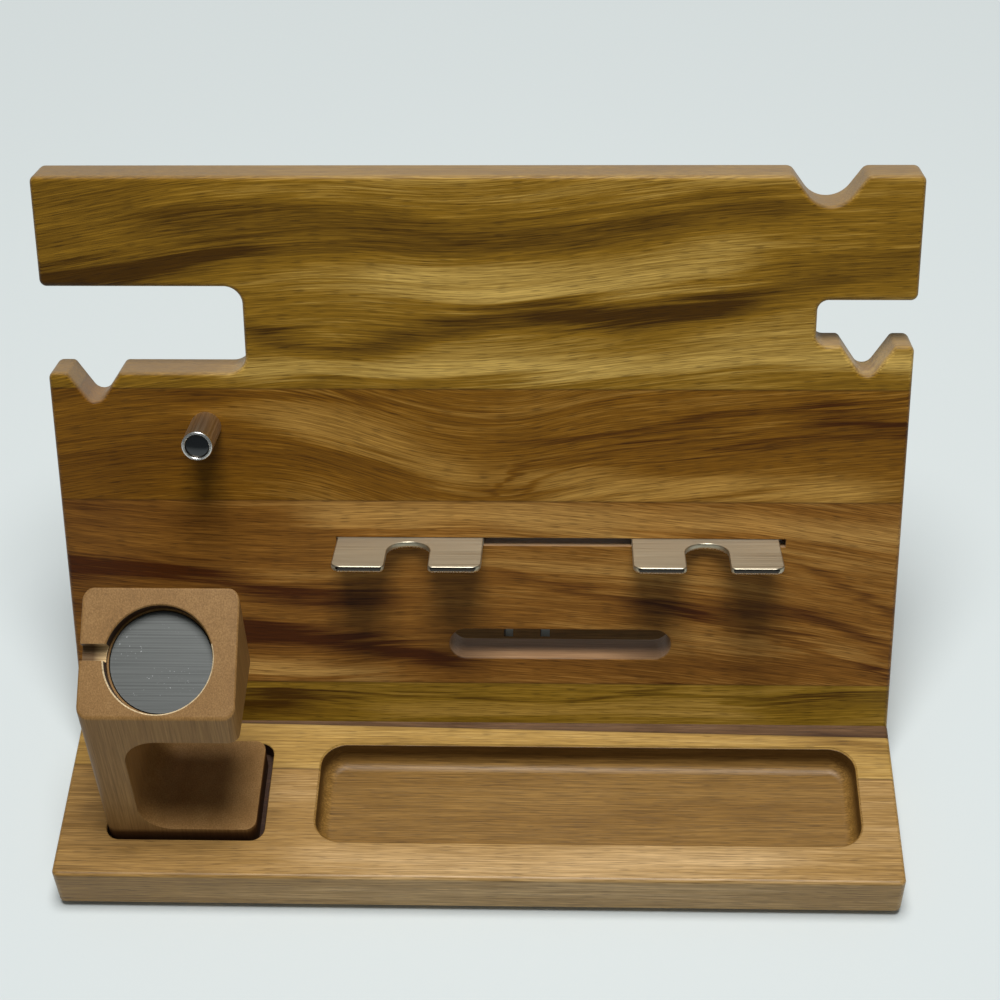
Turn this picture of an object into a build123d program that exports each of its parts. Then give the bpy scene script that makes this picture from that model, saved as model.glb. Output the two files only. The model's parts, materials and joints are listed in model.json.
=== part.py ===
"""Bedside docking stand: a laminated wooden base and a leaning back board with hanging arms,
two sliding phone brackets, a hanging peg, a loose watch stand and a pen tray.
Millimetres, +Z up, origin under the middle of the whole stand, on the surface it rests on."""
from build123d import *
import os
from math import cos, radians, sin, tan

# ---- Base board ----
base_width = 240.0              # left to right
base_depth = 105.0              # front to rear
base_thickness = 14.4
base_corner = 2.0               # upright corner radius
eased_edge = 1.1                # narrow flat sanded along the edges of base and back board

# ---- Rubber feet under the base ----
foot_diameter = 10.0
foot_height = 1.5
foot_inset = 12.0               # foot centre in from each edge of the base

# ---- Back board ----
board_height = 166.0            # up the slope, above the top of the base
board_thickness = 12.9
board_lean = 23.4               # degrees back from upright
board_setback = 55.0            # front edge of the base to the foot of the board
board_corner = 2.0
groove_depth = 5.0              # how far the board is housed in the base
groove_gap = 0.1                # play in front of and behind the housed edge

# ---- Open gap in the left side, with a notched ledge under a hanging arm ----
left_gap_floor = 110.0          # up the board, from the top of the base
left_gap_top = 134.9
left_gap_reach = 55.6           # inwards from the left edge
left_gap_corner = 5.0
left_notch_inset = 12.7         # notch centre in from the left edge

# ---- Open gap in the right side ----
right_gap_floor = 118.3
right_gap_top = 131.2
right_gap_reach = 27.0
right_gap_corner = 3.0
right_notch_inset = 12.6

# ---- Notches in the two ledges ----
ledge_notch_depth = 8.5
ledge_notch_flank = 56.0        # degrees from level
ledge_notch_bottom = 3.0        # radius at the bottom
ledge_notch_shoulder = 1.2      # radius at the rim

# ---- Wider notch in the top edge ----
crest_notch_inset = 25.1        # centre in from the right edge
crest_notch_depth = 8.3
crest_notch_flank = 54.0
crest_notch_bottom = 7.6
crest_notch_shoulder = 2.5

# ---- Slit for the phone brackets, and the cable slot under it ----
phone_centre_x = 23.1           # both openings are centred here
slit_length = 128.6
slit_height = 59.0              # slit centre up the board
slit_gap = 0.1                  # play above and below a bracket
cable_slot_length = 64.5
cable_slot_width = 9.3
cable_slot_height = 26.2        # slot centre up the board
cable_slot_edge = 0.6           # narrow flat sanded round both mouths of the slot

# ---- Phone brackets, bent from sheet ----
bracket_width = 42.0
bracket_sheet = 2.2
bracket_reach = 19.5            # shelf in front of the board
bracket_corner = 2.6            # outer corners of the shelf
bracket_bevel = 0.35            # ground along the rim of the shelf, above and below
bracket_flange = 12.0           # turned down behind the board
bracket_bend = 0.6              # inner bend radius, and so the gap from flange to board
plug_notch_width = 12.2
plug_notch_bridge = 2.7         # metal left between notch and board
plug_notch_corner = 0.9         # where the notch meets the front edge
left_bracket_start = 0.3        # from the left end of the slit
right_bracket_start = 1.9       # from the right end of the slit

# ---- Hanging peg ----
peg_inset = 43.4                # in from the left edge
peg_height = 94.2               # up the board
peg_diameter = 8.6
peg_length = 15.5
peg_bevel = 0.5
peg_cap_diameter = 6.9
peg_cap_depth = 2.4             # pocket in the free end
peg_cap_thickness = 1.9
peg_cap_bevel = 0.4
peg_cap_gap = 0.05
peg_screw_diameter = 4.0
peg_screw_head = 7.6
peg_screw_grip = 9.0            # thread inside the peg
screw_gap = 0.05                # play round every screw

# ---- Screws that hold the board down ----
board_screw_count = 3
board_screw_pitch = 95.0
board_screw_diameter = 3.6
board_screw_bite = 22.0         # thread inside the board
board_screw_head = 7.4
board_screw_head_height = 2.4
board_screw_crown = 1.1         # bevel round the top of the head
screw_pocket_diameter = 9.0
screw_pocket_depth = 4.6        # along the screw, from the underside

# ---- Tray cut in the base ----
tray_length = 156.0
tray_width = 34.0
tray_depth = 8.0
tray_right_margin = 10.8
tray_front_margin = 12.4
tray_corner = 7.5
tray_floor_radius = 4.0
tray_rim = 0.5                  # narrow flat sanded round the mouth

# ---- Two narrow notches in the rear edge of the base ----
kerf_width = 2.9
kerf_pitch = 11.3
kerf_centre_x = 12.6
kerf_length = 16.8

# ---- Watch stand ----
stand_width = 42.8
stand_depth = 31.2
stand_front_height = 54.5       # above the top of the base
stand_tilt = 30.0               # slope of the top face
stand_corner = 3.2
stand_edge = 0.7                # narrow flat sanded round the sloping face
stand_leg = 10.5                # thickness of the upright at the left
stand_plate = 3.4               # foot plate above the top of the base
window_height = 40.8
window_corner = 9.5

# ---- Recess in the base that the watch stand drops into ----
stand_recess_depth = 5.0
stand_recess_left = 13.6        # recess edge in from the left edge of the base
stand_recess_front = 12.3
stand_gap_left = 0.5
stand_gap_right = 2.0
stand_gap_front = 1.2
stand_gap_rear = 1.6
stand_recess_corner = 4.0

# ---- Charger recess in the top of the watch stand ----
charger_diameter = 29.6
charger_depth = 5.0
charger_offset = 1.8            # towards the front of the sloping face
charger_channel_width = 4.6     # cable channel to the left side
charger_channel_depth = 4.0
disc_diameter = 28.4
disc_thickness = 1.0            # let in flush with the floor of the recess
disc_gap = 0.1                  # play round the disc

# ---- Positions that follow from the sizes above ----
lean = radians(board_lean)
tilt = radians(stand_tilt)
left_x = -base_width / 2
right_x = base_width / 2
overall_depth = (
    board_setback
    + (board_height - eased_edge) * sin(lean)
    + board_thickness * cos(lean)
)
front_y = -overall_depth / 2
rear_y = front_y + base_depth
base_top_z = foot_height + base_thickness
board_origin = (0, front_y + board_setback, base_top_z)
# Local frame of the back board: x to the right, y up the slope, z out of its front face.
board_plane = Plane(origin=board_origin, x_dir=(1, 0, 0), z_dir=(0, -cos(lean), sin(lean)))
cut_over = 2.0                  # how far a cutting solid runs past a face
upwards = (Align.CENTER, Align.CENTER, Align.MIN)       # a cylinder that stands on its frame


def on_board(shape):
    """Moves a shape from the board's own frame to its place."""
    return board_plane.location * shape


def block(x0, x1, y0, y1, z0, z1):
    """A box from its two corners."""
    size = (x1 - x0, y1 - y0, z1 - z0)
    middle = Pos((x0 + x1) / 2, (y0 + y1) / 2, (z0 + z1) / 2)
    return middle * Box(*size)


def notch_face(depth, flank, bottom_radius):
    """A V with a round bottom, its mouth on y = 0, open upwards."""
    slope = radians(flank)
    apex = depth + bottom_radius * (1 / cos(slope) - 1)
    half_mouth = apex / tan(slope)
    rim = half_mouth + cut_over / tan(slope)
    corners = [(-rim, cut_over), (0, -apex), (rim, cut_over)]
    face = make_face(Polyline(*corners, close=True))
    bottom = face.vertices().sort_by(Axis.Y)[0]
    return fillet(bottom, radius=bottom_radius)


def notch_half_mouth(depth, flank, bottom_radius):
    """Half the width of that notch at its mouth."""
    slope = radians(flank)
    return (depth + bottom_radius * (1 / cos(slope) - 1)) / tan(slope)


def corner_at(face, x, y):
    """The corner of a flat face that lies nearest to a point."""
    return face.vertices().sort_by_distance(Vector(x, y, 0))[0]


def board_outline():
    """The front of the back board as one flat face."""
    face = Pos(0, (board_height - groove_depth) / 2) * Rectangle(base_width, board_height + groove_depth)
    left_gap_height = left_gap_top - left_gap_floor
    face -= Pos(left_x, left_gap_floor + left_gap_height / 2) * Rectangle(2 * left_gap_reach, left_gap_height)
    right_gap_height = right_gap_top - right_gap_floor
    face -= Pos(right_x, right_gap_floor + right_gap_height / 2) * Rectangle(2 * right_gap_reach, right_gap_height)
    ledge_notch = notch_face(ledge_notch_depth, ledge_notch_flank, ledge_notch_bottom)
    crest_notch = notch_face(crest_notch_depth, crest_notch_flank, crest_notch_bottom)
    left_notch_x = left_x + left_notch_inset
    right_notch_x = right_x - right_notch_inset
    crest_x = right_x - crest_notch_inset
    face -= Pos(left_notch_x, left_gap_floor) * ledge_notch
    face -= Pos(right_notch_x, right_gap_floor) * ledge_notch
    face -= Pos(crest_x, board_height) * crest_notch

    ledge_mouth = notch_half_mouth(ledge_notch_depth, ledge_notch_flank, ledge_notch_bottom)
    crest_mouth = notch_half_mouth(crest_notch_depth, crest_notch_flank, crest_notch_bottom)
    rounded_corners = [
        (left_x, board_height, board_corner),
        (right_x, board_height, board_corner),
        (left_x, left_gap_top, board_corner),
        (right_x, right_gap_top, board_corner),
        (left_x, left_gap_floor, board_corner),
        (right_x, right_gap_floor, board_corner),
        (left_x + left_gap_reach, left_gap_top, left_gap_corner),
        (left_x + left_gap_reach, left_gap_floor, left_gap_corner),
        (right_x - right_gap_reach, right_gap_top, right_gap_corner),
        (right_x - right_gap_reach, right_gap_floor, right_gap_corner),
        (left_notch_x - ledge_mouth, left_gap_floor, ledge_notch_shoulder),
        (left_notch_x + ledge_mouth, left_gap_floor, ledge_notch_shoulder),
        (right_notch_x - ledge_mouth, right_gap_floor, ledge_notch_shoulder),
        (right_notch_x + ledge_mouth, right_gap_floor, ledge_notch_shoulder),
        (crest_x - crest_mouth, board_height, crest_notch_shoulder),
        (crest_x + crest_mouth, board_height, crest_notch_shoulder),
    ]
    for x, y, radius in rounded_corners:
        face = fillet(corner_at(face, x, y), radius=radius)
    return face


def slit_opening():
    return Pos(phone_centre_x, slit_height) * Rectangle(slit_length, bracket_sheet + 2 * slit_gap)


def cable_slot_opening():
    return Pos(phone_centre_x, cable_slot_height) * SlotOverall(cable_slot_length, cable_slot_width)


def cable_slot_rims(board):
    """The edges of the slot's two mouths, before the board is put in place."""
    half = cable_slot_width / 2
    edges = board.faces().sort_by(Axis.Z)[0].edges() + board.faces().sort_by(Axis.Z)[-1].edges()
    rims = []
    for edge in edges:
        box = edge.bounding_box()
        low = cable_slot_height - half - board_corner
        high = cable_slot_height + half + board_corner
        if box.min.Y > low and box.max.Y < high:
            rims.append(edge)
    return rims


def board_screw_places():
    """Screw positions along the board."""
    first = -(board_screw_count - 1) / 2 * board_screw_pitch
    return [first + index * board_screw_pitch for index in range(board_screw_count)]


def down_the_board(x, height):
    """A frame on the board's mid-thickness whose z points down the slope."""
    return board_plane.location * Location(Plane(origin=(x, height, -board_thickness / 2), z_dir=(0, -1, 0)))


def make_back_board():
    outline = board_outline()
    body = extrude(outline, amount=-board_thickness)
    faces = body.faces().sort_by(Axis.Z)
    rims = faces[0].edges() + faces[-1].edges()
    housed = -groove_depth
    rims = [edge for edge in rims if edge.center().Y > housed + eased_edge]
    body = chamfer(rims, length=eased_edge)
    body -= extrude(slit_opening(), amount=-board_thickness)
    body -= extrude(cable_slot_opening(), amount=-board_thickness)
    body = chamfer(cable_slot_rims(body), length=cable_slot_edge)
    body = on_board(body)
    bite_radius = board_screw_diameter / 2 + screw_gap
    for x in board_screw_places():
        hole = Cylinder(bite_radius, board_screw_bite + cut_over, align=upwards)
        body -= down_the_board(x, board_screw_bite - groove_depth) * hole
    body -= peg_axis() * peg_screw_hole()
    return body


def peg_axis():
    """A frame at the root of the peg, on the front of the board, z out along the peg."""
    return board_plane.location * Pos(left_x + peg_inset, peg_height, 0)


def peg_screw_profile(shank_radius, head_radius, tip):
    """A countersunk screw turned about z, its head flush with the back of the board."""
    head_depth = head_radius - shank_radius
    rear = -board_thickness
    points = [(0, rear), (head_radius, rear), (shank_radius, rear + head_depth), (shank_radius, tip), (0, tip)]
    return revolve(Plane.XZ * make_face(Polyline(*points, close=True)), axis=Axis.Z)


def peg_screw_hole():
    return peg_screw_profile(peg_screw_diameter / 2 + screw_gap, peg_screw_head / 2 + screw_gap, cut_over)


def make_peg_screw():
    return peg_axis() * peg_screw_profile(peg_screw_diameter / 2, peg_screw_head / 2, peg_screw_grip)


def make_peg():
    outer = peg_diameter / 2
    pocket = peg_cap_diameter / 2
    bore = peg_screw_diameter / 2 + screw_gap
    blind = peg_screw_grip + cut_over
    points = [
        (bore, 0),
        (outer, 0),
        (outer, peg_length - peg_bevel),
        (outer - peg_bevel, peg_length),
        (pocket, peg_length),
        (pocket, peg_length - peg_cap_depth),
        (0, peg_length - peg_cap_depth),
        (0, blind),
        (bore, blind),
    ]
    return peg_axis() * revolve(Plane.XZ * make_face(Polyline(*points, close=True)), axis=Axis.Z)


def make_peg_cap():
    """A disc with a bevelled rim, a little below the end of the peg."""
    radius = peg_cap_diameter / 2 - peg_cap_gap
    floor = peg_length - peg_cap_depth
    end = floor + peg_cap_thickness
    points = [(0, floor), (radius, floor), (radius, end - peg_cap_bevel), (radius - peg_cap_bevel, end), (0, end)]
    return peg_axis() * revolve(Plane.XZ * make_face(Polyline(*points, close=True)), axis=Axis.Z)


def bracket_shelf(left_end):
    """The shelf in front of the board, notched for a plug, with its rim bevelled."""
    centre = left_end + bracket_width / 2
    notch_end = plug_notch_bridge + plug_notch_width / 2
    notch_room = bracket_reach + cut_over - notch_end
    plan = Pos(centre, bracket_reach / 2) * Rectangle(bracket_width, bracket_reach)
    plan -= Pos(centre, notch_end + notch_room / 2) * Rectangle(plug_notch_width, notch_room)
    plan -= Pos(centre, notch_end) * Circle(plug_notch_width / 2)
    for side in (-1, 1):
        plan = fillet(corner_at(plan, centre + side * bracket_width / 2, bracket_reach), radius=bracket_corner)
        plan = fillet(corner_at(plan, centre + side * plug_notch_width / 2, bracket_reach), radius=plug_notch_corner)
    shelf = extrude(plan, amount=bracket_sheet / 2, both=True)
    rims = shelf.faces().sort_by(Axis.Z)[0].edges() + shelf.faces().sort_by(Axis.Z)[-1].edges()
    rims = [edge for edge in rims if edge.center().Y > bracket_bevel]
    shelf = chamfer(rims, length=bracket_bevel)
    # Sketch x and y become the board's x and the direction out of its face.
    return Plane(origin=(0, slit_height, 0), x_dir=(1, 0, 0), z_dir=(0, -1, 0)).location * shelf


def make_bracket(left_end):
    """One bent-sheet bracket. left_end is the board position of its left side."""
    right_end = left_end + bracket_width
    top = slit_height + bracket_sheet / 2
    bottom = top - bracket_sheet
    back = -(board_thickness + bracket_bend + bracket_sheet)
    tongue = block(left_end, right_end, bottom, top, back, 0)
    flange = block(left_end, right_end, top - bracket_flange, top, back, back + bracket_sheet)
    tail = tongue + flange
    along = tail.edges().filter_by(Axis.X)
    heel = along.sort_by_distance(Vector(left_end, top, back))[0]
    tail = fillet(heel, radius=bracket_bend + bracket_sheet)
    along = tail.edges().filter_by(Axis.X)
    inner = along.sort_by_distance(Vector(left_end, bottom, back + bracket_sheet))[0]
    tail = fillet(inner, radius=bracket_bend)
    return on_board(tail + bracket_shelf(left_end))


def slit_left_end():
    return phone_centre_x - slit_length / 2


def slit_right_end():
    return phone_centre_x + slit_length / 2


def make_base():
    body = block(left_x, right_x, front_y, rear_y, foot_height, base_top_z)
    body = fillet(body.edges().filter_by(Axis.Z), radius=base_corner)
    top_rim = body.faces().sort_by(Axis.Z)[-1].edges()
    bottom_rim = body.faces().sort_by(Axis.Z)[0].edges()
    body = chamfer(top_rim + bottom_rim, length=eased_edge)
    body -= tray_pocket()
    body = chamfer(tray_rims(body), length=tray_rim)
    body -= stand_pocket()
    body -= groove()
    for x in (kerf_centre_x - kerf_pitch / 2, kerf_centre_x + kerf_pitch / 2):
        body -= block(
            x - kerf_width / 2,
            x + kerf_width / 2,
            rear_y - kerf_length,
            rear_y + cut_over,
            foot_height - cut_over,
            base_top_z + cut_over,
        )
    for x in board_screw_places():
        body -= screw_passage(x)
    return body


def tray_pocket():
    """The long tray, with the round-bottomed wall that a bowl cutter leaves."""
    x1 = right_x - tray_right_margin
    x0 = x1 - tray_length
    y0 = front_y + tray_front_margin
    y1 = y0 + tray_width
    pocket = block(x0, x1, y0, y1, base_top_z - tray_depth, base_top_z + cut_over)
    pocket = fillet(pocket.edges().filter_by(Axis.Z), radius=tray_corner)
    floor = pocket.faces().sort_by(Axis.Z)[0].edges()
    return fillet(floor, radius=tray_floor_radius)


def tray_rims(base):
    """The edges round the mouth of the tray."""
    inner_front = front_y + tray_front_margin - eased_edge
    inner_rear = front_y + tray_front_margin + tray_width + eased_edge
    inner_left = right_x - tray_right_margin - tray_length - eased_edge
    rims = []
    for edge in base.faces().sort_by(Axis.Z)[-1].edges():
        box = edge.bounding_box()
        if box.min.X > inner_left and box.min.Y > inner_front and box.max.Y < inner_rear:
            rims.append(edge)
    return rims


def stand_left():
    return left_x + stand_recess_left + stand_gap_left


def stand_front():
    return front_y + stand_recess_front + stand_gap_front


def stand_pocket():
    x0 = left_x + stand_recess_left
    x1 = stand_left() + stand_width + stand_gap_right
    y0 = front_y + stand_recess_front
    y1 = stand_front() + stand_depth + stand_gap_rear
    pocket = block(x0, x1, y0, y1, base_top_z - stand_recess_depth, base_top_z + cut_over)
    return fillet(pocket.edges().filter_by(Axis.Z), radius=stand_recess_corner)


def groove():
    """The housing for the board's foot, as wide as the base, leaning like the board."""
    width = base_width + 2 * cut_over
    cut = block(
        -width / 2,
        width / 2,
        -groove_depth,
        board_thickness + cut_over,
        -board_thickness - groove_gap,
        groove_gap,
    )
    return on_board(cut)


def underside_distance():
    """From the foot of the board, along the screw, to the underside of the base."""
    end_z = base_top_z - groove_depth * cos(lean) - board_thickness / 2 * sin(lean)
    return (end_z - foot_height) / cos(lean)


def screw_passage(x):
    """Shank hole and head pocket, from the groove floor down and out of the underside."""
    reach = underside_distance()
    hole = Cylinder(board_screw_diameter / 2 + screw_gap, reach, align=upwards)
    pocket = Cylinder(screw_pocket_diameter / 2, screw_pocket_depth + 2 * cut_over, align=upwards)
    start = down_the_board(x, -groove_depth)
    return start * hole + start * Pos(0, 0, reach - screw_pocket_depth) * pocket


def make_board_screws():
    """Pan-head screws, one solid each."""
    seat = underside_distance() - screw_pocket_depth
    shank = board_screw_diameter / 2
    head = board_screw_head / 2
    tip = -board_screw_bite + cut_over
    end = seat + board_screw_head_height
    points = [
        (0, tip),
        (shank, tip + shank),
        (shank, seat),
        (head, seat),
        (head, end - board_screw_crown),
        (head - board_screw_crown, end),
        (0, end),
    ]
    screw = revolve(Plane.XZ * make_face(Polyline(*points, close=True)), axis=Axis.Z)
    return Compound(children=[down_the_board(x, -groove_depth) * screw for x in board_screw_places()])


def make_feet():
    feet = []
    for x in (left_x + foot_inset, right_x - foot_inset):
        for y in (front_y + foot_inset, rear_y - foot_inset):
            feet.append(Pos(x, y, 0) * Cylinder(foot_diameter / 2, foot_height, align=upwards))
    return Compound(children=feet)


def stand_face():
    """Frame at the middle of the stand's sloping face, z out of it, y up the slope."""
    slope_length = stand_depth / cos(tilt)
    middle = (
        stand_left() + stand_width / 2,
        stand_front() + stand_depth / 2,
        base_top_z + stand_front_height + slope_length / 2 * sin(tilt),
    )
    return Plane(origin=middle, x_dir=(1, 0, 0), z_dir=(0, -sin(tilt), cos(tilt)))


def charger_floor():
    """Frame at the middle of the charger recess, on its floor."""
    return stand_face().location * Pos(0, -charger_offset, -charger_depth)


def make_watch_stand():
    x0 = stand_left()
    x1 = x0 + stand_width
    y0 = stand_front()
    y1 = y0 + stand_depth
    floor_z = base_top_z - stand_recess_depth
    rear_height = stand_front_height + stand_depth * tan(tilt)
    body = block(x0, x1, y0, y1, floor_z, base_top_z + rear_height + cut_over)
    body = fillet(body.edges().filter_by(Axis.Z), radius=stand_corner)
    face = stand_face()
    above = Pos(0, 0, rear_height / 2) * Box(2 * stand_width, 4 * stand_depth, rear_height)
    body -= face.location * above
    window_floor = base_top_z + stand_plate
    window = block(
        x0 + stand_leg,
        x1 + cut_over + window_corner,
        y0 - cut_over,
        y1 + cut_over,
        window_floor,
        window_floor + window_height,
    )
    inner = window.edges().filter_by(Axis.Y).group_by(Axis.X)[0]
    window = fillet(inner, radius=window_corner)
    body -= window
    out_of_face = Axis(face.origin, face.z_dir)
    sloping_face = body.faces().sort_by(out_of_face)[-1]
    body = chamfer(sloping_face.edges(), length=stand_edge)
    recess = Cylinder(charger_diameter / 2, charger_depth + cut_over, align=upwards)
    disc_pocket = Cylinder(disc_diameter / 2 + disc_gap, charger_depth, align=upwards)
    body -= charger_floor() * recess
    body -= charger_floor() * Pos(0, 0, -disc_thickness) * disc_pocket
    channel = block(
        -stand_width / 2 - cut_over,
        0,
        -charger_channel_width / 2,
        charger_channel_width / 2,
        -charger_channel_depth,
        cut_over,
    )
    body -= face.location * channel
    return body


def make_watch_disc():
    disc = Cylinder(disc_diameter / 2, disc_thickness, align=(Align.CENTER, Align.CENTER, Align.MAX))
    return charger_floor() * disc


def main():
    os.makedirs("parts", exist_ok=True)
    left_start = slit_left_end() + left_bracket_start
    right_start = slit_right_end() - right_bracket_start - bracket_width
    pieces = {
        "base_board": make_base(),
        "back_board": make_back_board(),
        "rubber_feet": make_feet(),
        "board_screws": make_board_screws(),
        "phone_bracket_left": make_bracket(left_start),
        "phone_bracket_right": make_bracket(right_start),
        "hook_peg": make_peg(),
        "hook_peg_cap": make_peg_cap(),
        "hook_peg_screw": make_peg_screw(),
        "watch_stand": make_watch_stand(),
        "watch_disc": make_watch_disc(),
    }
    for name, shape in pieces.items():
        export_step(shape, f"parts/{name}.step")
        box = shape.bounding_box()
        print(name, "solids", len(shape.solids()), "from", box.min, "to", box.max)
    print("front edge of the base at y", round(front_y, 3), "overall depth", round(overall_depth, 3))
    print("room between the brackets", round(right_start - left_start - bracket_width, 3))
    print("charger recess mouth centre", (stand_face().location * Pos(0, -charger_offset, 0)).position)


main()
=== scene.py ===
# %% [markdown]
# # A bedside phone and watch stand
#
# The object is a wooden organiser for a bedside table. A flat base carries a long
# tray and a small watch stand, and a leaning back board carries two steel phone
# brackets and a peg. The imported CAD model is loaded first, and every piece made
# below stands exactly where its CAD node stands.

# %% Load the frame
import functools
import json
import math
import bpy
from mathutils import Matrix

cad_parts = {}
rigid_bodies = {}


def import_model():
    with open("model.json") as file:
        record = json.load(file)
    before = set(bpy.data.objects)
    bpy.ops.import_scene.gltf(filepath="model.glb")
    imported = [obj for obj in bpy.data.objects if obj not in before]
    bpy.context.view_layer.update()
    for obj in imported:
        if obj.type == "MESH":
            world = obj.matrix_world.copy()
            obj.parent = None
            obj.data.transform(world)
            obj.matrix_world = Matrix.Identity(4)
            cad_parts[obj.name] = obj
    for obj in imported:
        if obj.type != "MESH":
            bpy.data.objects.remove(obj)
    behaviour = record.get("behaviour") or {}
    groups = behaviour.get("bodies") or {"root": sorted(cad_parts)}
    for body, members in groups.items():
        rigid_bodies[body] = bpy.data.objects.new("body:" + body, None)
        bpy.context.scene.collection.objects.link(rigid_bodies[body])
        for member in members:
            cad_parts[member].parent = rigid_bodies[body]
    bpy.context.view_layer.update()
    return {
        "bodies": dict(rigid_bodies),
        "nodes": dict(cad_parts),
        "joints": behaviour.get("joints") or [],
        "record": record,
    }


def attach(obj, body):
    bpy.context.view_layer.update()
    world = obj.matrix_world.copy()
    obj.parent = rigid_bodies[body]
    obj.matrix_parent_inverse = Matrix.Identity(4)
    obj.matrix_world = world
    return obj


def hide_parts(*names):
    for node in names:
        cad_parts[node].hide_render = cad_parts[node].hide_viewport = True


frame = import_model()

from types import SimpleNamespace as Sizes

import bmesh
import bpy
from mathutils import Matrix, Vector
from mathutils.geometry import tessellate_polygon

# %% [markdown]
# ## Sizes
#
# The sizes are the real ones, in millimetres, as the CAD model has them. Blender
# works in metres here, so one factor turns them. The board's rims are chamfered in
# the CAD model. Here they are round and a little wider, and stay in the same box.

# %% Sizes in millimetres
MM = 0.001
BASE = Sizes(width=240.0, depth=105.0, thickness=14.4, corner=2.0, ease=1.1)
FOOT = Sizes(radius=5.0, height=1.5, inset=12.0, round=0.5)
BOARD = Sizes(
    height=166.0, thickness=12.9, lean=23.4, setback=55.0, corner=2.0, housed=5.0, ease=1.1, round=1.4, play=0.1)
LEFT_GAP = Sizes(floor=110.0, top=134.9, reach=55.6, corner=5.0, notch=12.7)
RIGHT_GAP = Sizes(floor=118.3, top=131.2, reach=27.0, corner=3.0, notch=12.6)
LEDGE_NOTCH = Sizes(depth=8.5, flank=56.0, bottom=3.0, shoulder=1.5)
CREST_NOTCH = Sizes(inset=25.1, depth=8.3, flank=54.0, bottom=7.6, shoulder=2.5)
SLIT = Sizes(centre=23.1, length=128.6, height=59.0, width=2.4, ease=0.25)
SLOT = Sizes(length=64.5, width=9.3, height=26.2, ease=0.6)
BRACKET = Sizes(
    width=42.0, sheet=2.2, reach=19.5, corner=2.6, flange=12.0, bend=0.6, bevel=0.35, underside=1.25,
    inside=1.5, from_slit_left=0.3, from_slit_right=1.9)
PLUG = Sizes(width=12.2, bridge=2.7, corner=1.3)
PEG = Sizes(inset=43.4, height=94.2, radius=4.3, length=15.5, bevel=0.5, rim=0.9, pocket=3.45, pocket_depth=2.4,
            cap=3.4, cap_height=1.9, cap_round=0.4)
TRAY = Sizes(length=156.0, width=34.0, depth=8.0, right=10.8, front=12.4, corner=7.5, floor=4.0, rim=0.5)
STAND = Sizes(width=42.8, depth=31.2, front=54.5, tilt=30.0, corner=3.2, edge=0.7, leg=10.5, plate=3.4)
WINDOW = Sizes(height=40.8, corner=9.5, edge=0.4)
RECESS = Sizes(
    depth=5.0, left=13.6, front=12.3, gap_left=0.5, gap_right=2.0, gap_front=1.2, gap_rear=1.6, corner=4.0, rim=0.25)
CHARGER = Sizes(radius=14.8, depth=5.0, offset=1.8, channel=4.6, channel_depth=4.0, mouth=0.35)
DISC = Sizes(radius=14.2, thickness=1.0, gap=0.1, edge=0.25)
KERF = Sizes(width=2.9, depth=16.8, centre=12.6, apart=11.3)
SCREW = Sizes(xs=(-95.0, 0.0, 95.0), shank=1.8, head=3.7, head_height=2.4, pocket=4.5, pocket_depth=4.6, crown=1.1,
              play=0.05, tip=-20.0, point=1.8)
PEG_SCREW = [(0, -12.9), (3.8, -12.9), (2.0, -11.1), (2.0, 0.2), (0, 0.2)]  # radius and height, head first
PEG_HOLE = [(0, -13.4), (4.35, -13.4), (2.05, -9.05), (2.05, 1), (0, 1)]
PAST = 2.0  # how far a cutter runs past the face that it opens
SHORT_OF = 0.01  # what a full round keeps of its straight edge, so that no edge vanishes

lean = math.radians(BOARD.lean)
tilt = math.radians(STAND.tilt)
left, right = -BASE.width / 2, BASE.width / 2
overall_depth = BOARD.setback + (BOARD.height - BOARD.ease) * math.sin(lean) + BOARD.thickness * math.cos(lean)
front = -overall_depth / 2
rear = front + BASE.depth
top = FOOT.height + BASE.thickness
print("base front at", round(front, 2), "mm, base top at", round(top, 2), "mm")

# %% [markdown]
# ## Frames of the leaning parts
#
# The back board leans back and the watch stand's face slopes, so each gets a frame
# of its own. Its pieces are made flat in it, x to the right, y up the slope and z out
# of the face, and its matrix leans them. The board's wood is given the same frame, so
# that the grain follows the board.

# %% Frames, where Matrix() is one that changes nothing
QUARTER_TURN = Matrix.Rotation(math.radians(90), 4, "X")


def moved(x, y, z):
    """A shift by so many millimetres."""
    return Matrix.Translation(Vector((x, y, z)) * MM)


def leaning(origin, angle):
    """A frame whose y runs up a slope that leans back by angle."""
    return moved(*origin) @ Matrix.Rotation(math.radians(90) - angle, 4, "X")


def place(data, matrix=Matrix()):
    """An object for a mesh, a camera or a lamp, in the given frame."""
    made = bpy.data.objects.new(data.name, data)
    made.matrix_world = matrix
    bpy.context.scene.collection.objects.link(made)
    return made


board_frame = leaning((0, front + BOARD.setback, top), lean)
stand_left = left + RECESS.left + RECESS.gap_left
stand_front = front + RECESS.front + RECESS.gap_front
stand_right, stand_rear = stand_left + STAND.width, stand_front + STAND.depth
slope_rise = STAND.depth / math.cos(tilt) * math.sin(tilt)
face_middle = (stand_left + STAND.width / 2, stand_front + STAND.depth / 2, top + STAND.front + slope_rise / 2)
face_frame = leaning(face_middle, math.radians(90) - tilt)
peg_frame = board_frame @ moved(left + PEG.inset, PEG.height, 0)
print("middle of the sloping face", [round(v, 2) for v in face_middle])

# %% [markdown]
# ## Camera
#
# The photograph looks down on the stand from the front, about 47 degrees below
# level, a little from the right. Place, turn and focal length were worked out from
# the straight edges of base and board.

# %% Camera
CAMERA = Sizes(x=26.69, y=-387.47, z=511.46, down=46.645, yaw=2.93, roll=-1.847, focal_px=2078.65, image_px=1000)

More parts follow.
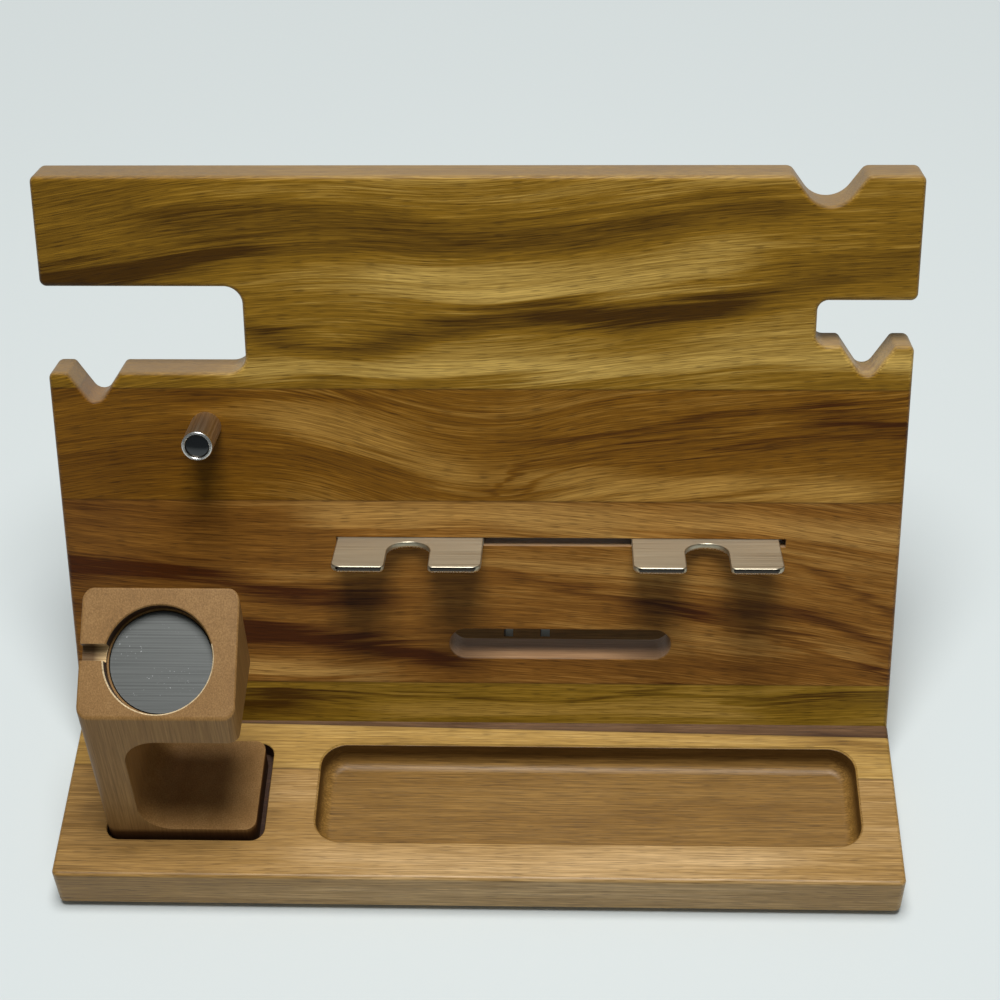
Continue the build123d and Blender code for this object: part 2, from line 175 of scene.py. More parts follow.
pitch, yaw, roll = (math.radians(angle) for angle in (90 - CAMERA.down, CAMERA.yaw, CAMERA.roll))
aim = Matrix.Rotation(yaw, 4, "Z") @ Matrix.Rotation(pitch, 4, "X") @ Matrix.Rotation(roll, 4, "Z")
camera_data = bpy.data.cameras.new("camera")
camera_data.sensor_width = 36
camera_data.lens = CAMERA.focal_px * camera_data.sensor_width / CAMERA.image_px
camera_data.clip_start = 0.01
bpy.context.scene.camera = place(camera_data, moved(CAMERA.x, CAMERA.y, CAMERA.z) @ aim)
print("lens", round(camera_data.lens, 2), "mm")

# %% [markdown]
# ## Making meshes
#
# Most pieces are plates: an outline with rounded corners, some thickness, and a rim
# that is sanded or ground. One helper rounds a polygon's corners, one shifts an outline
# inwards, and one stacks shifted outlines into a solid. A cutter for a pocket is such a
# stack as well, and a Boolean takes it out of the plate.

# %% Outlines
def rounded(corners, step=math.radians(7)):
    """A closed outline from (x, y, radius) corners, each corner turned into an arc."""
    points = []
    count = len(corners)
    for index, (x, y, radius) in enumerate(corners):
        here = Vector((x, y))
        if radius == 0:
            points.append(here)
            continue
        before = (Vector(corners[index - 1][:2]) - here).normalized()
        after = (Vector(corners[(index + 1) % count][:2]) - here).normalized()
        half = before.angle(after) / 2
        centre = here + (before + after).normalized() * (radius / math.sin(half))
        start = here + before * (radius / math.tan(half)) - centre
        turn = (math.pi - 2 * half) * (1 if before.cross(after) < 0 else -1)
        pieces = max(2, round(abs(turn) / step))
        for k in range(pieces + 1):
            points.append(centre + Matrix.Rotation(turn * k / pieces, 2) @ start)
    return points


def rectangle(x0, x1, y0, y1, radius=0.0):
    """An outline that runs anticlockwise."""
    return rounded([(x0, y0, radius), (x1, y0, radius), (x1, y1, radius), (x0, y1, radius)])


def shifted(outline, distance):
    """The outline moved to its left, which is into the material of an anticlockwise outline."""
    count = len(outline)
    points = []
    for index, point in enumerate(outline):
        a = (point - outline[index - 1]).normalized()
        b = (outline[(index + 1) % count] - point).normalized()
        normal = Vector((-a.y - b.y, a.x + b.x)) / 2
        points.append(point + normal * (distance / max(normal.length_squared, 0.2)))
    return points


def notch_corners(centre, rim, size, inwards=-1):
    """A rounded V seen as corners, from its outer shoulder to its inner one."""
    slope = math.radians(size.flank)
    apex = size.depth + size.bottom * (1 / math.cos(slope) - 1)
    half = apex / math.tan(slope)
    return [(centre - inwards * half, rim, size.shoulder), (centre, rim - apex, size.bottom),
            (centre + inwards * half, rim, size.shoulder)]


print("a unit square has", len(rectangle(0, 1, 0, 1, 0.1)), "points with rounded corners")

# %% Solids from stacked outlines
def rim_profile(ease, parts=4):
    """(inset, height) pairs round an upper rim, from the cap outwards and down."""
    quarter = [math.pi / 2 * k / parts for k in range(parts + 1)]
    return [(ease * (1 - math.sin(angle)), -ease * (1 - math.cos(angle))) for angle in quarter]


def eased_profile(thickness, ease, lower_ease=None):
    """The upper rim, then down, and round the lower rim, which may be rounder."""
    lower = rim_profile(ease if lower_ease is None else lower_ease)
    return rim_profile(ease) + [(inset, -thickness - height) for inset, height in reversed(lower)]


def finished(build, name, matrix):
    """Places a closed build, with its faces turned outwards."""
    bmesh.ops.recalc_face_normals(build, faces=build.faces)
    mesh = bpy.data.meshes.new(name)
    build.to_mesh(mesh)
    build.free()
    return place(mesh, matrix)


def stack(name, loops, profiles, matrix=Matrix(), height_at=None):
    """A closed solid. Of the loops the first is outside and any others are clockwise holes.
    Each has a profile of (inset, height) pairs, and height_at may tilt a height by place."""
    build = bmesh.new()
    caps = ([], [])
    for outline, profile in zip(loops, profiles):
        rings = []
        for inset, height in profile:
            ring = []
            for point in shifted(outline, inset):
                z = height_at(point, height) if height_at else height
                ring.append(build.verts.new((point.x * MM, point.y * MM, z * MM)))
            rings.append(ring)
        for upper, lower in zip(rings, rings[1:]):
            for k in range(len(upper)):
                build.faces.new((upper[k - 1], lower[k - 1], lower[k], upper[k]))
        caps[0].append(rings[0])
        caps[1].append(rings[-1])
    for side in caps:
        flat = [vert for ring in side for vert in ring]
        triangles = tessellate_polygon([[Vector((v.co.x, v.co.y, 0)) for v in ring] for ring in side])
        for triangle in triangles:
            build.faces.new([flat[k] for k in triangle])
    return finished(build, name, matrix)


def plate(name, outline, thickness, ease, matrix, holes=(), hole_eases=()):
    """A flat piece from height 0 down to minus the thickness, with eased rims."""
    profiles = [eased_profile(thickness, value) for value in (ease, *hole_eases)]
    return stack(name, [outline, *holes], profiles, matrix)


def turned(name, profile, around, matrix):
    """A solid turned on a lathe: (radius, height) pairs from the axis to the axis."""
    build = bmesh.new()
    rings = []
    for radius, height in profile:
        if radius == 0:
            rings.append([build.verts.new((0, 0, height * MM))])
            continue
        ring = []
        for k in range(around):
            angle = 2 * math.pi * k / around
            ring.append(build.verts.new((radius * math.cos(angle) * MM, radius * math.sin(angle) * MM, height * MM)))
        rings.append(ring)
    for low, high in zip(rings, rings[1:]):
        for k in range(around):
            # A ring on the axis has one point, so its faces are triangles.
            corners = [low[(k - 1) % len(low)], low[k % len(low)], high[k % len(high)], high[(k - 1) % len(high)]]
            corners = list(dict.fromkeys(corners))
            if len(corners) > 2:
                build.faces.new(corners)
    return finished(build, name, matrix)


def pad_profile(radius, height, edge):
    """A short cylinder with a small round at its upper rim, for turned()."""
    mid = 0.3 * edge
    return [(0, 0), (radius, 0), (radius, height - edge), (radius - mid, height - mid), (radius - edge, height),
            (0, height)]


# %% [markdown]
# ## Cutting and shading a piece
#
# Cutters are removed once their Boolean has been applied. A Boolean can leave points
# that lie almost on each other, so these are welded. Faces that meet gently are shaded
# smooth and sharper edges stay crisp, so a flat board looks flat up to its rim.

# %% Booleans and shading
def bake_modifiers(piece):
    """Turns the result of the modifiers into the piece's own mesh."""
    bpy.context.view_layer.update()
    graph = bpy.context.evaluated_depsgraph_get()
    mesh = bpy.data.meshes.new_from_object(piece.evaluated_get(graph))
    piece.modifiers.clear()
    piece.data = mesh
    mesh.name = piece.name


def carve(piece, cutters, operation="DIFFERENCE"):
    """Takes the cutters out of the piece, or joins them to it, one after another."""
    for cutter in cutters:
        modifier = piece.modifiers.new("carve", "BOOLEAN")
        modifier.operation = operation
        modifier.solver = "EXACT"
        modifier.object = cutter
        bake_modifiers(piece)
        bpy.data.objects.remove(cutter)


def soften(piece, width, limit=50, segments=3):
    """Rounds every edge sharper than the limit, as a sanding pad does."""
    modifier = piece.modifiers.new("soften", "BEVEL")
    modifier.width = width * MM
    modifier.segments = segments
    modifier.limit_method = "ANGLE"
    modifier.angle_limit = math.radians(limit)
    bake_modifiers(piece)


def weld(piece, within=0.004):
    """Joins points that a Boolean left within a few micrometres, and drops faces with no area."""
    build = bmesh.new()
    build.from_mesh(piece.data)
    bmesh.ops.remove_doubles(build, verts=build.verts, dist=within * MM)
    bmesh.ops.dissolve_degenerate(build, edges=build.edges, dist=within * MM)
    many_sided = [face for face in build.faces if len(face.verts) > 4]
    bmesh.ops.triangulate(build, faces=many_sided, ngon_method="BEAUTY")
    bmesh.ops.dissolve_degenerate(build, edges=build.edges, dist=within * MM)
    build.to_mesh(piece.data)
    build.free()


def shade(piece, limit=32):
    """Smooth faces, with edges over the limit kept crisp and flat faces kept flat."""
    piece.data.shade_smooth()
    piece.data.set_sharp_from_angle(angle=math.radians(limit))
    weigh = piece.modifiers.new("weigh", "WEIGHTED_NORMAL")
    weigh.keep_sharp = True
    weigh.weight = 100


def box_cutter(x0, x1, y0, y1, z0, z1, matrix=Matrix()):
    """A rectangular cutter in a frame."""
    outline = [Vector((x0, y0)), Vector((x1, y0)), Vector((x1, y1)), Vector((x0, y1))]
    return stack("cutter", [outline], [[(0, z1), (0, z0)]], matrix)


def round_cutter(radius, z0, z1, matrix, around):
    """A cylindrical cutter along z in a frame."""
    return turned("cutter", [(0, z0), (radius, z0), (radius, z1), (0, z1)], around, matrix)


# %% [markdown]
# ## Adding nodes, and colours
#
# One function adds a node, sets it up and links its inputs, and another turns a
# colour written as sRGB hex into the linear numbers that Blender shades with. A
# MapRange takes a value, the two ends it comes from and the two ends it goes to.

# %% Nodes and colours
def linear(code):
    """An sRGB hex colour as linear red, green, blue and alpha."""
    parts = [int(code[k:k + 2], 16) / 255 for k in (1, 3, 5)]
    return tuple(p / 12.92 if p <= 0.04045 else ((p + 0.055) / 1.055) ** 2.4 for p in parts) + (1.0,)


def darker(colour, share):
    """The colour with a share of its light taken away."""
    return tuple(part * (1 - share) for part in colour[:3]) + (1.0,)


def add(material, kind, inputs=(), points=(), **settings):
    """Adds a node with its settings, curve points and inputs, and returns its first output. A
    kind may carry its operation, and a tuple gives the inputs by place, a dict by name or place."""
    kind, _, operation = kind.partition(".")
    made = material.node_tree.nodes.new("ShaderNode" + kind)
    if operation:
        made.operation = operation
    for name, value in settings.items():
        setattr(made, name, value)
    for key, value in inputs.items() if isinstance(inputs, dict) else enumerate(inputs):
        socket = made.inputs[key] if isinstance(key, int) else next(
            s for s in made.inputs if s.name == key and s.enabled)
        if isinstance(value, bpy.types.NodeSocket):
            material.node_tree.links.new(value, socket)
        else:
            socket.default_value = value
    if points:
        curve = made.mapping.curves[0]
        curve.points[0].location, curve.points[1].location = points[0], points[-1]
        for point in points[1:-1]:
            curve.points.new(*point)
        made.mapping.update()
    return next((output for output in made.outputs if output.enabled), None)


def new_material(name):
    """An empty material, and add for its nodes."""
    material = bpy.data.materials.new(name)
    material.use_nodes = True
    material.node_tree.nodes.clear()
    return material, functools.partial(add, material)


print("mid grey", [round(v, 3) for v in linear("#808080")])

# %% [markdown]
# ## Laminated acacia under satin lacquer
#
# Base and back board are acacia, glued up from planed strips that were cut from
# different logs, so the colour and the figure jump at each glue line. Acacia shows
# broad dark heartwood bands, fine streaks between them, and short open pores along
# the grain. The satin lacquer deepens the colours and leaves a soft sheen, so its IOR
# is that of lacquer, 1.5, and its roughness and shine are matched to the photograph.
#
# Each strip has a flow line, which says how its grain sweeps from left to right.
# Noise that is stretched along that flow makes the figure: heartwood about 14 mm
# broad, streaks of 2.5 mm, fibres of 0.4 mm. A pore is under 0.2 mm wide and a glue
# line far thinner still, too fine to show here, so they are drawn 0.26 mm and about
# half a millimetre wide. The large bands were placed as curves in millimetres.

# %% Wood
SPAN = (-80.0, 180.0)  # what a flow line or a band may cover across the grain, in mm
LAYERS = {  # length and width of the figure in mm, detail, seed
    "wander": (70, 24, 1.0, 3.1),
    "heart": (120, 14, 2.0, 7.7),
    "streak": (75, 2.5, 3.0, 1.3),
    "fibre": (18, 0.42, 4.0, 5.9),
    "pore": (5, 0.26, 0.0, 9.2),
}
STRIPS_APART = 71.3  # moves the noise on from strip to strip, in mm
BAND_FADE = 12.0  # mm over which a band fades out at its ends
GLUE_LINE, GLUE_DARKNESS = (0.12, 0.45), 0.45  # full darkness up to 0.12 mm from its middle
BELOW = -300.0  # the edge of the first strip, under every point
WANDER = Sizes(broad=9.0, fine=3.0)  # how far the figure follows the wandering grain, in mm
WEIGHT = Sizes(heart=0.95, streak=0.75, fibre=0.6)  # how much each layer shifts the tone
# The darker left end, which TONE.end reaches over, is painted shade.
TONE = Sizes(middle=0.53, end=0.35)  # the plain tone, and how far the darker left end reaches
FRAYED = Sizes(wander=8.0, streak=13.0)  # how far the noise frays the edge of a band, in mm
PORE = (0.08, 0.22)  # the noise at which a pore starts and is full


def curve_points(points):
    """(along, across) places in millimetres as places in a unit curve."""
    low, high = SPAN
    return [((u - left) / (right - left), (v - low) / (high - low)) for u, v in points]


def wood(name, strips, bands=(), axes="xyz", rough=0.42, shine=0.2, figure=0.4, pore_tone=0.3, grit=1.3,
         left_end=0.0, rim=None, painted_shade=None, frame=Matrix()):
    """strips run across the grain: (edge, slant, dark, middle, light, flow points). bands are
    (points, half width, strength), and a negative strength makes a pale band. The pattern
    lies in the given frame. left_end darkens the left end as painted shade. rim colours the
    steep faces, a painted sheen on the board's edges and painted shade on a pocket's walls.
    The last argument is (colour, full, none): a painted shade, full at the first place along
    the grain and gone at the second."""
    material, node = new_material(name)
    low, high = SPAN
    shift, turn, _ = frame.inverted().decompose()
    coordinates = node("TexCoord").node.outputs
    place_in = node("Mapping", (coordinates["Object"], shift, turn.to_euler()))
    in_mm = node("VectorMath.SCALE", {0: place_in, 3: 1 / MM})
    split = node("SeparateXYZ", (in_mm,)).node.outputs
    along, across, deep = (split["xyz".index(axis)] for axis in axes)
    share = node("MapRange", (along, left, right))

    # Each glue line that lies below a point adds one to the number of its strip.
    flow, number, glue, lines = 0.0, 0.0, 0.0, []
    for edge, slant, _, _, _, points in strips:
        level = node("Math.MULTIPLY_ADD", (along, -slant, across))
        height = node("Math.SUBTRACT", (level, edge))
        line = node("Math.GREATER_THAN", (height, 0.0))
        near = node("Math.ABSOLUTE", (height,))
        glue = node("Math", (glue, node("MapRange", (near, *GLUE_LINE, GLUE_DARKNESS, 0.0))))
        sweep = node("FloatCurve", {"Value": share}, points=curve_points(points)) if points else 0.0
        flow = node("Mix", {"Factor": line, "A": flow, "B": sweep})
        number = node("Math", (number, line))
        lines.append(line)
    offset = node("Math.MULTIPLY_ADD", (flow, low - high, across))
    apart = node("Math.MULTIPLY_ADD", (number, STRIPS_APART, offset))

    # The grain wanders a little. The broad figure follows it, and the fine one less so.
    def figure_noise(layer, line_across):
        long_mm, wide_mm, detail, seed = LAYERS[layer]
        stretched = node("CombineXYZ", (
            node("Math.MULTIPLY_ADD", (along, 1 / long_mm, seed)),
            node("Math.DIVIDE", (line_across, wide_mm)),
            node("Math.DIVIDE", (deep, wide_mm))))
        noise = node("TexNoise", {"Vector": stretched, "Scale": 1.0, "Detail": detail, "Roughness": 0.6})
        return node("Math.SUBTRACT", (noise, 0.5))

    wander = figure_noise("wander", apart)
    bent = node("Math.MULTIPLY_ADD", (wander, WANDER.broad * figure, apart))
    calm = node("Math.MULTIPLY_ADD", (wander, WANDER.fine * figure, apart))
    heart, streak = figure_noise("heart", bent), figure_noise("streak", bent)
    fibre, pore_field = figure_noise("fibre", calm), figure_noise("pore", calm)

    # The tone runs from 0, dark, to 1, light. The figure and the bands shift it.
    # A darker left end is painted shade.
    plain = (TONE.middle - left_end, TONE.middle)
    tone = node("MapRange", (share, 0.0, TONE.end, *plain), interpolation_type="SMOOTHSTEP")
    weights = (heart, WEIGHT.heart * figure), (streak, WEIGHT.streak * figure), (fibre, WEIGHT.fibre)
    for part, weight in weights:
        tone = node("Math.MULTIPLY_ADD", (part, weight, tone))
    waver = node("Math.MULTIPLY", (wander, FRAYED.wander))
    edge_noise = node("Math.MULTIPLY_ADD", (streak, FRAYED.streak, waver))
    ragged = node("Math", (across, edge_noise))
    for points, half_width, strength in bands:
        whole = [(left, points[0][1]), *points, (right, points[-1][1])]
        centre = node("FloatCurve", {"Value": share}, points=curve_points(whole))
        middle = node("Math.MULTIPLY_ADD", (centre, high - low, low))
        off = node("Math.SUBTRACT", (ragged, middle))
        off = node("Math.ABSOLUTE", (off,))
        inside = node("MapRange", (off, 0.0, half_width, 1.0, 0.0), interpolation_type="SMOOTHSTEP")
        for end, inwards in ((points[0][0], BAND_FADE), (points[-1][0], -BAND_FADE)):
            fade = node("MapRange", (along, end - inwards, end + inwards), interpolation_type="SMOOTHSTEP")
            inside = node("Math.MULTIPLY", (inside, fade))
        tone = node("Math.MULTIPLY_ADD", (inside, -strength, tone))

    # Every strip blends from its dark over its middle to its light colour. Then come
    # shading, glue, pores, the rim colour of steep faces, which is painted sheen on the board
    # and painted shade in the pockets, and last the painted shade along the grain.
    shades = []
    for part in (2, 3, 4):
        colour = linear(strips[0][part])
        for line, strip in zip(lines[1:], strips[1:]):
            colour = node("Mix", {"Factor": line, "A": colour, "B": linear(strip[part])}, data_type="RGBA")
        shades.append(colour)
    lower, upper = (node("MapRange", (tone, *ends)) for ends in ((0.0, 0.5), (0.5, 1.0)))
    shading = node("Math.MULTIPLY_ADD", (fibre, grit, 1.0))
    pore = node("MapRange", (pore_field, *PORE, 0.0, pore_tone))
    coats = [(lower, shades[1]), (upper, shades[2]), (1.0, shading)]
    coats += [(glue, linear("#2E1808")), (pore, linear("#241408"))]
    if rim:
        normal = node("Mapping", {0: coordinates["Normal"], 2: turn.to_euler()}, vector_type="VECTOR")
        facing = node("SeparateXYZ", (normal,)).node.outputs[2]
        facing = node("Math.ABSOLUTE", (facing,))
        coats.append((node("MapRange", (facing, 0.9, 0.3, 0.0, 0.5)), linear(rim)))
    if painted_shade:
        code, full, none = painted_shade
        coats.append((node("MapRange", (along, full, none, 0.85, 0.0)), linear(code)))
    colour = shades[0]
    for amount, coat in coats:
        blend = "MULTIPLY" if coat is shading else "MIX"
        colour = node("Mix", {"Factor": amount, "A": colour, "B": coat}, data_type="RGBA", blend_type=blend)

    relief = node("Math.MULTIPLY_ADD", (pore, -1.0, fibre))
    bump = node("Bump", {"Strength": 0.3, "Distance": 0.12 * MM, "Height": relief})
    sheen = node("MapRange", (streak, -0.3, 0.3, rough - 0.06, rough + 0.06))
    surface = node("BsdfPrincipled", {
        "Base Color": colour, "Roughness": sheen, "IOR": 1.5, "Specular IOR Level": shine, "Normal": bump})
    node("OutputMaterial", (surface,))
    return material


# %% [markdown]
# The back board is glued from four strips. The widest one, on top, is olive gold
# with two long dark bands. The next has an arched figure that rises to the right, in
# the third the grain falls to the right, and the lowest is narrow and golden.

# %% Wood of the back board
BANDS = [  # points of the middle line, half width, strength
    ([(-130, 137), (-92, 141), (-60, 147), (-20, 147), (20, 149), (57, 154), (90, 157)], 8.0, 0.34),
    ([(-118, 138), (-92, 141), (-60, 146)], 5.0, 0.28),
    ([(-90, 153), (-51, 155), (-15, 153)], 6.0, 0.24),
    ([(-66, 122), (-45, 118.5), (-20, 121), (12, 127.5), (42, 127.5), (73, 132)], 5.5, 0.42),
    ([(20, 127), (58, 129), (89, 137), (130, 144)], 9.0, 0.28),
    ([(-30, 137), (30, 137), (75, 144)], 8.0, -0.3),
    ([(-70, 111), (0, 112), (130, 113)], 5.5, -0.36),
    ([(60, 119), (130, 122)], 7.0, -0.2),
    ([(-90, 102), (-42, 103), (3, 98), (49, 103)], 2.2, 0.25),
    ([(10, 89), (34, 92.5), (62, 97), (95, 101), (130, 103)], 1.6, 0.3),
    ([(2, 73), (11, 80), (26, 85), (49, 90), (80, 95), (130, 97)], 1.8, 0.3),
    ([(8, 72), (19, 77.5), (34, 83), (57, 85), (80, 89.5), (130, 92.5)], 1.5, 0.25),
    ([(-60, 96), (-30, 88), (0, 78)], 9.0, -0.28),
    ([(10, 77), (57, 76), (110, 75)], 6.5, -0.32),
    ([(90, 99), (130, 95)], 9.0, 0.35),
    ([(-130, 51), (-85, 48), (-53, 41), (-22, 40)], 6.0, 0.5),
    ([(-80, 30), (-54, 29), (-36, 25), (-5, 19)], 6.0, 0.55),
    ([(-90, 20), (-54, 19), (-30, 15.5)], 4.0, -0.45),
    ([(3, 49), (34, 42), (66, 34), (90, 27.5), (130, 16)], 1.8, 0.3),
    ([(40, 37), (66, 36.5), (98, 34), (130, 25)], 4.5, 0.4),
    ([(85, 54), (97, 50), (130, 38)], 2.0, 0.25),
    ([(-50, 66), (20, 66), (130, 62)], 8.0, -0.32),
    ([(-10, 52), (34, 50), (70, 46)], 5.0, -0.2),
    ([(-70, 10.5), (-45, 8), (-14, 11), (18, 8), (51, 11), (83, 8.5), (130, 9.5)], 1.6, 0.35),
    ([(-30, 5), (40, 5), (80, 6)], 5.0, -0.3),
    ([(-100, 5), (-50, 6)], 8.0, 0.5),
    ([(85, 6), (130, 6)], 7.0, 0.3),
    ([(60, 22), (90, 20), (130, 17)], 6.0, 0.3),
    ([(-90, 88), (-30, 86), (40, 90), (130, 86)], 14.0, 0.1),
]
# The pale rim colour on the board's steep edges is a painted sheen. Its darker left end is partly the wood's own
# tone and partly painted shade.
board_wood = wood(
    "laminated_acacia_back_board",
    strips=[
        (BELOW, 0.0, "#4E3207", "#92701F", "#BE9748", [(-120, 8), (0, 8), (120, 9)]),
        (13.2, 0.0, "#482204", "#885A20", "#C0934E", [(-120, 52), (-60, 47), (0, 48), (60, 43), (120, 34)]),
        (71.6, 0.0, "#472403", "#805512", "#BA8E44", [(-120, 96), (-60, 100), (0, 86), (40, 92), (120, 100)]),
        (105.5, 0.0, "#472D06", "#8B661A", "#CAA657", [(-120, 138), (-50, 148), (0, 147), (60, 154), (120, 158)]),
    ],
    bands=BANDS, shine=0.14, figure=0.66, pore_tone=0.4, left_end=0.2, rim="#A38D73", frame=board_frame,
)

# %% [markdown]
# The base is the same wood, but its strips are paler, and it was planed flat. A
# tapered purple-brown strip runs behind the tray. The watch stand was cut from a
# closer-grained, pinker block, and its grain stands upright.

# %% Wood of the base and the watch stand
# The base's darker left end, beside the watch stand, is painted shade.
base_wood = wood(
    "laminated_acacia_base",
    strips=[
        (BELOW, 0.0, "#6B4A1E", "#A27D45", "#CEAB78", []),
        (front + 36.8, -0.011, "#7C5A24", "#AF8A47", "#D4B474", []),
        (front + 52.6, -0.018, "#432B18", "#63472D", "#85674A", []),
        (front + 66.0, 0.0, "#62441D", "#99753F", "#C4A06A", []),
    ],
    bands=[
        ([(-50, front + 6), (20, front + 6), (90, front + 7)], 9.0, -0.3),
        ([(95, front + 49), (125, front + 47)], 5.0, 0.45),
    ],
    rough=0.38, shine=0.28, figure=0.55, left_end=0.22,
)
# The tray's wood is darker than the base, and its steep walls near black: both are painted shade.
pocket_wood = wood(
    "routed_acacia_painted_shade", [(BELOW, 0.0, "#593A12", "#83602B", "#A88245", [])],
    shine=0.28, figure=0.55, rim="#2C160A")
# The near-black wood of the stand's recess and of the charger recess wall is painted shade.
recess_wood = wood(
    "recess_painted_shade", [(BELOW, 0.0, "#1E0F08", "#38200F", "#5A3A1E", [])],
    shine=0.4, figure=0.55)
# The watch stand darkens towards its foot, up to just under the foot plate's top: painted shade.
stand_wood = wood(
    "lacquered_acacia_watch_stand", [(BELOW, 0.0, "#67471F", "#8C683B", "#AD8858", [])],
    axes="zxy", rough=0.5, pore_tone=0.12, grit=0.6,
    painted_shade=("#3A1C0C", top + 1.6, top + STAND.plate - 0.1))
# The pale wood on the lower part of the charger recess mouth is raw wood and also a painted highlight.
raw_wood_and_highlight = wood(
    "raw_acacia_edge_painted_highlight", [(BELOW, 0.0, "#B08F62", "#DCC39A", "#F0DDB8", [])],
    axes="zxy", rough=0.7)
# The routed channel's pale wood darkens towards its outer end, which is painted shade.
channel_wood = wood(
    "routed_channel_acacia", [(BELOW, 0.0, "#8E6A3A", "#CDAF7E", "#F0DDB8", [])],
    rough=0.6, pore_tone=0.4, painted_shade=("#4A2C10", stand_left + 3.0, stand_left + 6.2))
slot_wood = wood(
    "sanded_slot_wall", [(BELOW, 0.0, "#765735", "#9C7753", "#BC976F", [])],
    rough=0.5, pore_tone=0.12, grit=0.6)
print("woods", [material.name for material in bpy.data.materials])

# %% [markdown]
# ## Brushed steel, rubber and the peg's cap
#
# The brackets are stainless sheet with a satin finish: fine lines run along their
# length and spread the highlight across them. A real line is under 0.1 mm wide and
# is drawn 0.35 mm wide or more here, so that it shows. The cut front edge is polished,
# and its dark colour is a painted reflection of a dark room. The disc is darker steel,
# ground in straight lines, with bright specks from use. Cap and feet are moulded, with
# a skin of fine grain.

# %% Metals and rubber
LINE_LENGTH = 60.0
SPECKS, PATCHES = 1500.0, 90.0  # noise cells per metre: specks of 0.7 mm in patches of 11 mm


def steel(name, code, rough, line_mm=0.35, contrast=0.25, lengthwise="x", wear=0.0, spread_out=0.0):
    """Ground stainless steel with lines along one axis."""
    material, node = new_material(name)
    place_in = node("TexCoord").node.outputs["Object"]
    scale = tuple(1 / MM / (LINE_LENGTH if axis == lengthwise else line_mm) for axis in "xyz")
    stretched = node("VectorMath.MULTIPLY", (place_in, scale))
    lines = node("TexNoise", {"Vector": stretched, "Scale": 1.0, "Detail": 3.0})
    light, spread = linear(code), node("MapRange", (lines, 0.3, 0.7))
    colour = node("Mix", {"Factor": spread, "A": darker(light, contrast), "B": light}, data_type="RGBA")
    if wear:
        marks = node("TexNoise", {"Vector": place_in, "Scale": SPECKS, "Detail": 1.0})
        where = node("TexNoise", {"Vector": place_in, "Scale": PATCHES, "Detail": 2.0})
        speck = node("MapRange", (marks, 0.69, 0.78))
        patch = node("MapRange", (where, 0.5, 0.62, 0.0, wear))
        worn = node("Math.MULTIPLY", (speck, patch))
        colour = node("Mix", {"Factor": worn, "A": colour, "B": linear("#D8DADA")}, data_type="RGBA")
    roughness = node("MapRange", (lines, 0.3, 0.7, rough - 0.05, rough + 0.07))
    bump = node("Bump", {"Strength": 0.3, "Distance": 0.04 * MM, "Height": lines})
    crosswise = node(
        "VectorTransform", ((0.0, 1.0, 0.0),), vector_type="VECTOR", convert_from="OBJECT", convert_to="WORLD")
    surface = node("BsdfPrincipled", {
        "Base Color": colour, "Metallic": 1.0, "Roughness": roughness, "Normal": bump,
        "Anisotropic": spread_out, "Tangent": crosswise})
    node("OutputMaterial", (surface,))
    return material


def moulded(name, code, rough, skin_mm, coat=0.0):
    """Moulded plastic or rubber with a fine skin."""
    material, node = new_material(name)
    place_in = node("TexCoord").node.outputs["Object"]
    skin = node("TexNoise", {"Vector": place_in, "Scale": 1 / MM / skin_mm, "Detail": 2.0})
    colour = node("Mix", {"Factor": skin, "A": darker(linear(code), 0.25), "B": linear(code)}, data_type="RGBA")
    bump = node("Bump", {"Strength": 0.2, "Distance": 0.03 * MM, "Height": skin})
    surface = node("BsdfPrincipled", {
        "Base Color": colour, "Roughness": rough, "IOR": 1.5, "Normal": bump,
        "Coat Weight": coat, "Coat Roughness": 0.05})
    node("OutputMaterial", (surface,))
    return material


bracket_steel = steel("satin_stainless_bracket", "#C8BEA6", 0.4, spread_out=0.7)
# The dark colour of the cut edge is a painted reflection of a dark room.
edge_painted_reflection = steel("cut_edge_painted_reflection", "#4A4540", 0.14, line_mm=0.6, contrast=0.2)
peg_steel = steel("turned_stainless_peg", "#D8CCB8", 0.38, line_mm=0.4, contrast=0.3, lengthwise="z")
rim_steel = steel("polished_rim", "#E6E4E0", 0.25, contrast=0.1, lengthwise="z")
disc_steel = steel("ground_dark_steel_disc", "#686A68", 0.5, line_mm=0.45, contrast=0.45, wear=0.5)
screw_steel = steel("zinc_plated_screw", "#B9BBB8", 0.3, line_mm=0.5, contrast=0.15)
cap_plastic = moulded("polished_black_cap", "#0B0F13", 0.16, 0.4, coat=0.6)
foot_rubber = moulded("moulded_rubber_foot", "#1D1D1C", 0.7, 0.3)
print("materials now", len(bpy.data.materials))

# %% [markdown]
# ## Handing a piece to the frame
#
# Each finished piece gets its materials, rides on its CAD body, and stands for its CAD
# node, which is hidden.

# %% Dress a piece
def dress(piece, materials, body, node):
    """Materials, body and CAD node of a piece, in one place."""
    weld(piece)
    piece.data.materials.clear()
    for material in materials:
        piece.data.materials.append(material)
    shade(piece)
    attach(piece, body)
    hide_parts(node)
    print(piece.name, "faces", len(piece.data.polygons), "on", body)


# %% [markdown]
# ## Back board
#
# One flat outline holds everything: two open gaps that leave hanging arms, rounded
# V notches in their ledges, and a wider notch in the top edge. The slit for the
# brackets and the cable slot are holes in the same plate. The rims are sanded by
# about a millimetre, and they catch the light as they do in the photograph.

# %% Back board
def arm_gap(edge, inwards, gap):
    """The corners of an open gap in a side edge, from its notched ledge upwards."""
    deep = edge + inwards * gap.reach
    return [(edge, gap.floor, BOARD.corner),
            *notch_corners(edge + inwards * gap.notch, gap.floor, LEDGE_NOTCH, inwards),
            (deep, gap.floor, gap.corner), (deep, gap.top, gap.corner), (edge, gap.top, BOARD.corner)]


